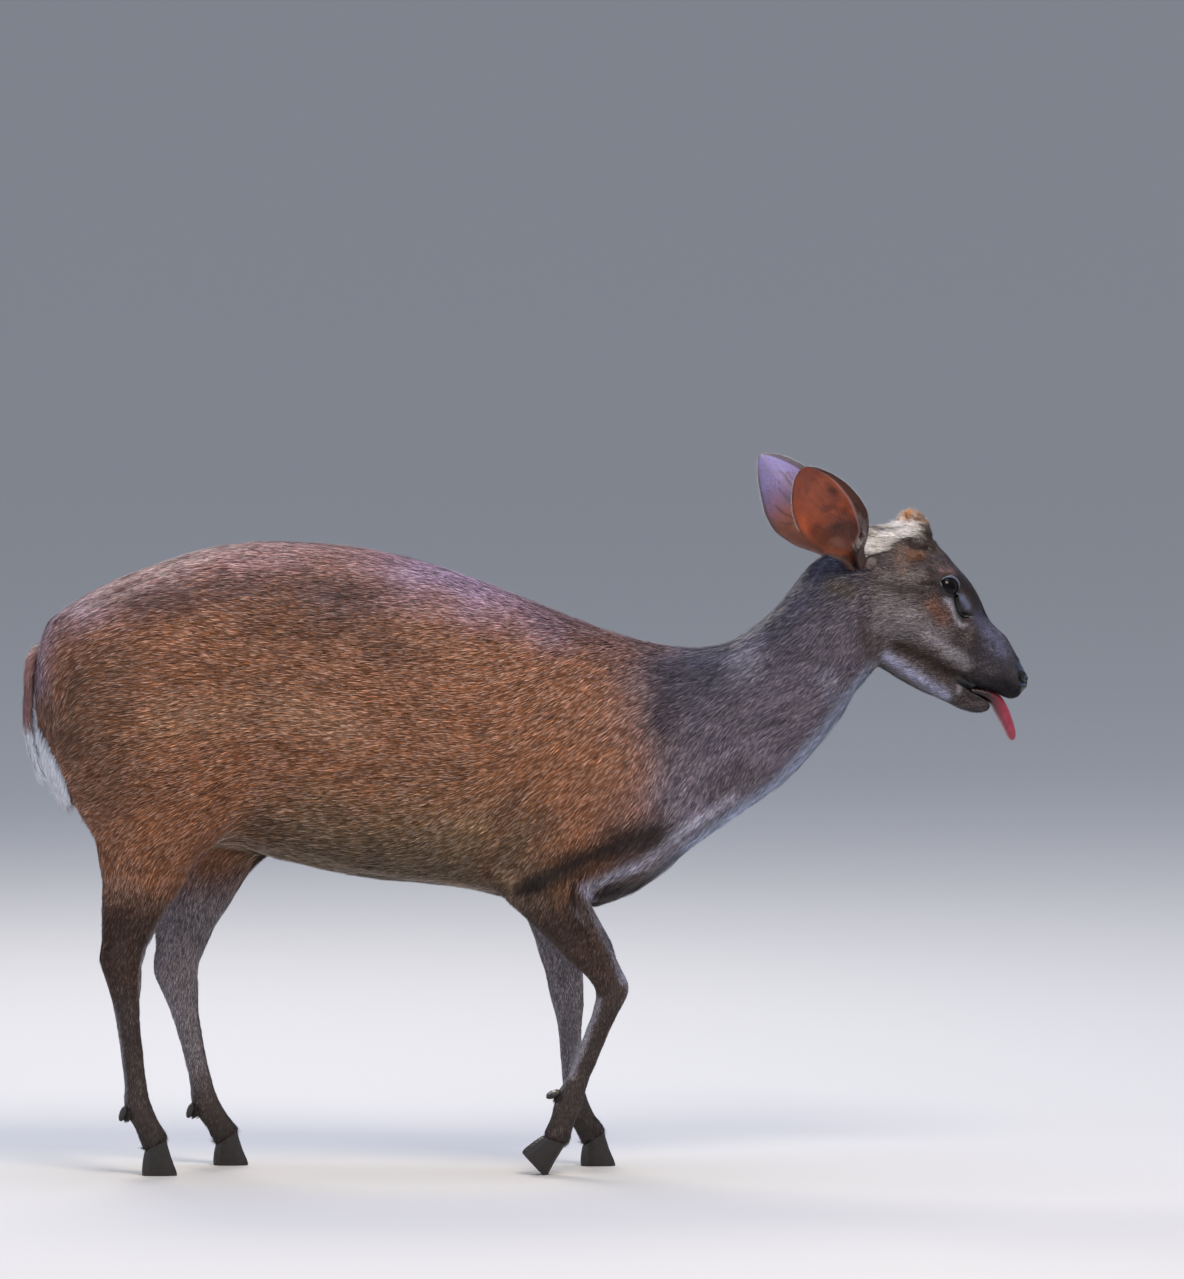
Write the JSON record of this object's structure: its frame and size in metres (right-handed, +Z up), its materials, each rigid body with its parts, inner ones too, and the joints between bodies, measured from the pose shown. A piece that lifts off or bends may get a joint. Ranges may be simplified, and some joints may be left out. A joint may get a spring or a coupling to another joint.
{
  "type": "muntjac doe, stepping",
  "caption": "Life-size muntjac doe in mid step, head low and turned a little aside, tongue out, tail hanging down.",
  "frame": {"origin": "middle of the bounding box's base, on the ground between the feet", "axes": "+X the way the animal faces, +Y its left side, +Z up"},
  "size_m": [1.0066, 0.1824, 0.7216],
  "materials": {
    "coat_red": "matte",
    "coat_grey": "matte",
    "tail_white": "matte",
    "ear_skin": "satin",
    "horn": "satin",
    "eye": "gloss",
    "tongue": "gloss"
  },
  "bodies": {
    "root": {"torso": "coat_red", "hindquarters": "coat_red", "head": "coat_grey", "neck": "coat_grey", "foreleg_left": "coat_red", "hindleg_left": "coat_red", "fore_cannon_left": "coat_red", "hind_cannon_left": "coat_red", "ear_left": "ear_skin", "eye_left": "eye", "hoof_fore_left_inner": "horn", "dewclaw_fore_left_inner": "horn", "hoof_fore_left_outer": "horn", "dewclaw_fore_left_outer": "horn", "hoof_hind_left_inner": "horn", "dewclaw_hind_left_inner": "horn", "hoof_hind_left_outer": "horn", "dewclaw_hind_left_outer": "horn", "foreleg_right": "coat_red", "hindleg_right": "coat_red", "fore_cannon_right": "coat_red", "hind_cannon_right": "coat_red", "ear_right": "ear_skin", "eye_right": "eye", "hoof_fore_right_inner": "horn", "dewclaw_fore_right_inner": "horn", "hoof_fore_right_outer": "horn", "dewclaw_fore_right_outer": "horn", "hoof_hind_right_inner": "horn", "dewclaw_hind_right_inner": "horn", "hoof_hind_right_outer": "horn", "dewclaw_hind_right_outer": "horn", "tongue": "tongue", "tail": "tail_white"}
  },
  "joints": []
}
